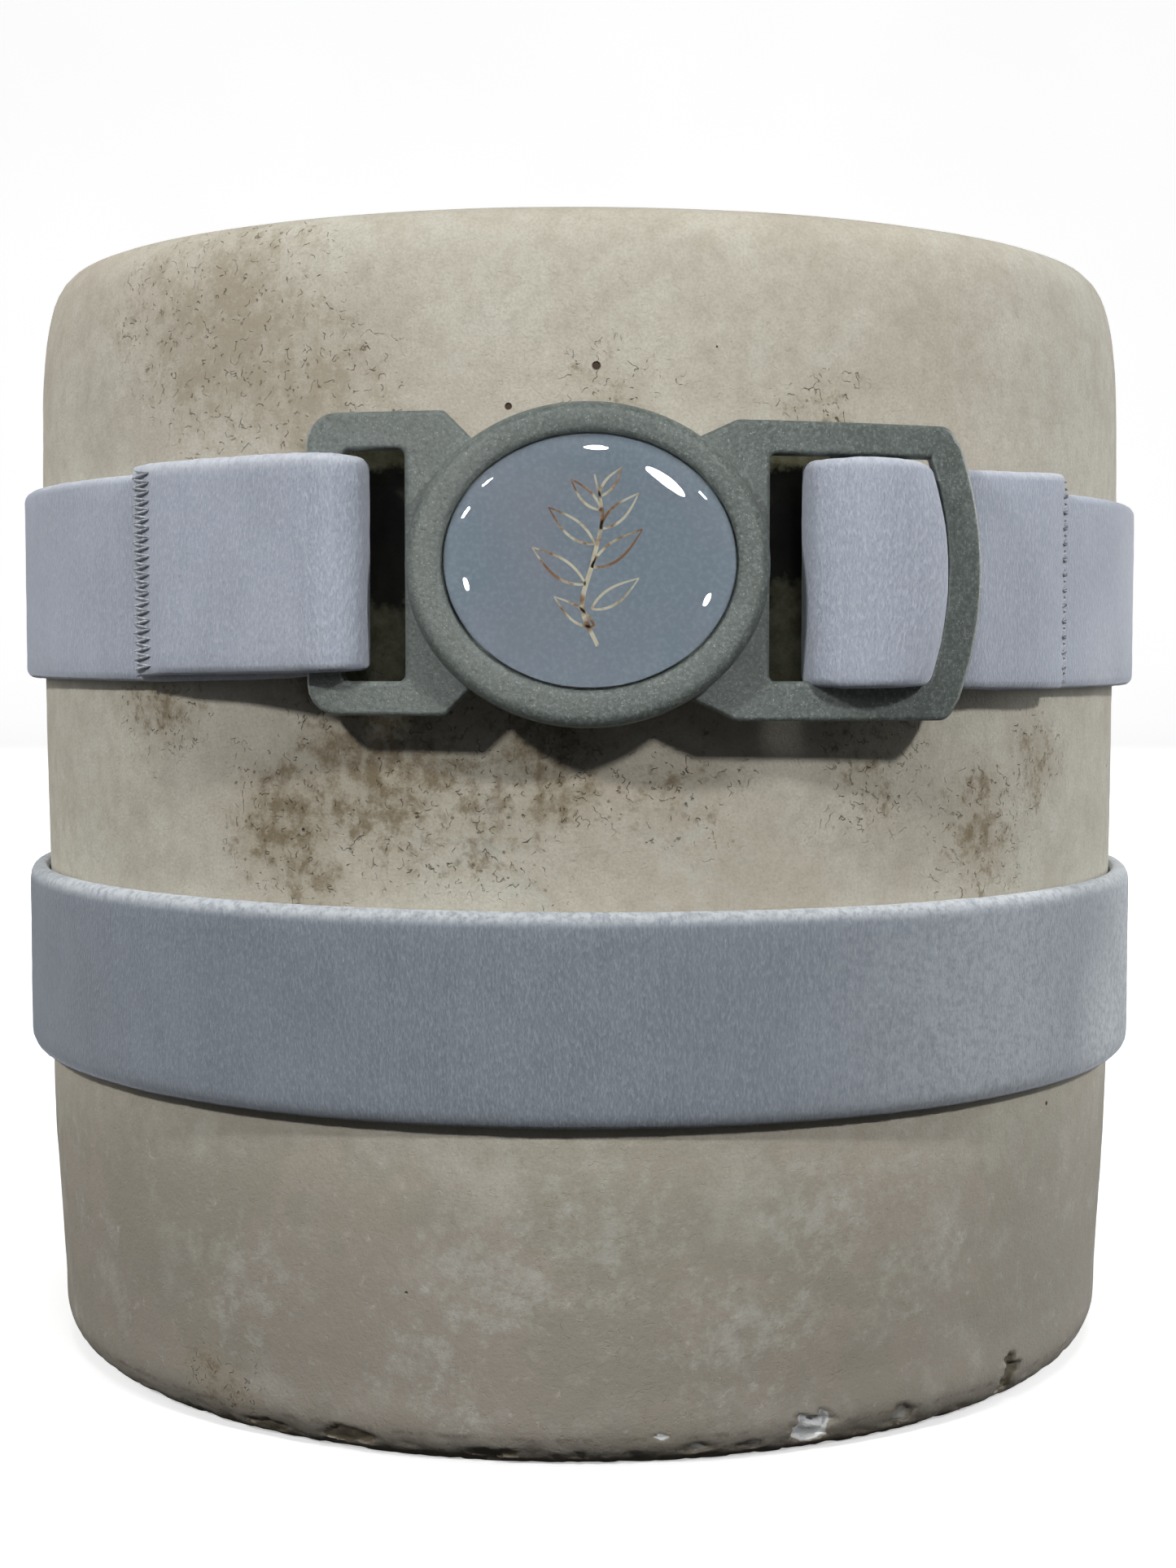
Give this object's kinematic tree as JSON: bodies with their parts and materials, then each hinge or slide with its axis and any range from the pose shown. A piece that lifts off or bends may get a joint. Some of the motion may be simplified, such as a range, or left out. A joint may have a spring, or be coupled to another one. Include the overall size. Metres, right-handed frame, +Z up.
{
  "type": "plaster mold",
  "caption": "Round two-part plaster slip-casting mold with a base plug and a flared pour opening, held shut by two elastic belts, one with an oval clip clasp.",
  "frame": {"origin": "on the mold's axis, on the underside of the base plug, which is level with the surface that the mold stands on", "axes": "+Z up along the mold's axis; -Y towards the clasp, which is the front; the halves part along Y = 0"},
  "size_m": [0.188, 0.2009, 0.1755],
  "materials": {
    "plaster": "dry cast plaster, matt, stained and slightly pitted",
    "peg_plastic": "moulded, satin",
    "socket_plastic": "moulded, satin",
    "webbing": "brushed elastic webbing with a soft nap",
    "thread": "twisted sewing thread",
    "clasp_plastic": "satin plastic with fine pearl flecks",
    "badge_print": "printed plate, pearl",
    "badge_resin": "clear domed resin, glossy"
  },
  "bodies": {
    "mold_front": {"mold_front_half": "plaster", "natch_peg_left_low": "peg_plastic", "natch_peg_left_high": "peg_plastic", "natch_peg_right_low": "peg_plastic", "natch_peg_right_high": "peg_plastic", "upper_belt_webbing": "webbing", "upper_belt_right_seam": "thread", "lower_belt_webbing": "webbing", "clasp_right_half": "clasp_plastic", "clasp_bezel": "clasp_plastic", "badge_plate": "badge_print", "badge_dome": "badge_resin"},
    "mold_back": {"mold_back_half": "plaster", "natch_socket_left_low": "socket_plastic", "natch_socket_left_high": "socket_plastic", "natch_socket_right_low": "socket_plastic", "natch_socket_right_high": "socket_plastic", "lower_belt_seam": "thread"},
    "base_plug": {"mold_base_plug": "plaster"},
    "clasp_left": {"clasp_left_half": "clasp_plastic", "upper_belt_left_seam": "thread"}
  },
  "joints": [
    {"name": "mold_parting", "type": "slide", "parent": "mold_front", "child": "mold_back", "axis": [0, 1, 0], "range_m": [0, 0.02], "stiffness_N_per_m": 900, "springref_m": -0.04, "deforming": ["upper_belt_webbing", "lower_belt_webbing"]},
    {"name": "base_plug_drop", "type": "slide", "parent": "mold_front", "child": "base_plug", "axis": [0, 0, -1], "range_m": [0, 0.03]},
    {"name": "clasp_release", "type": "hinge", "parent": "mold_front", "child": "clasp_left", "pos_m": [0.00135, 0.016, 0.1258], "axis": [0, 0, -1], "range_deg": [0, 14], "deforming": ["upper_belt_webbing"]}
  ]
}
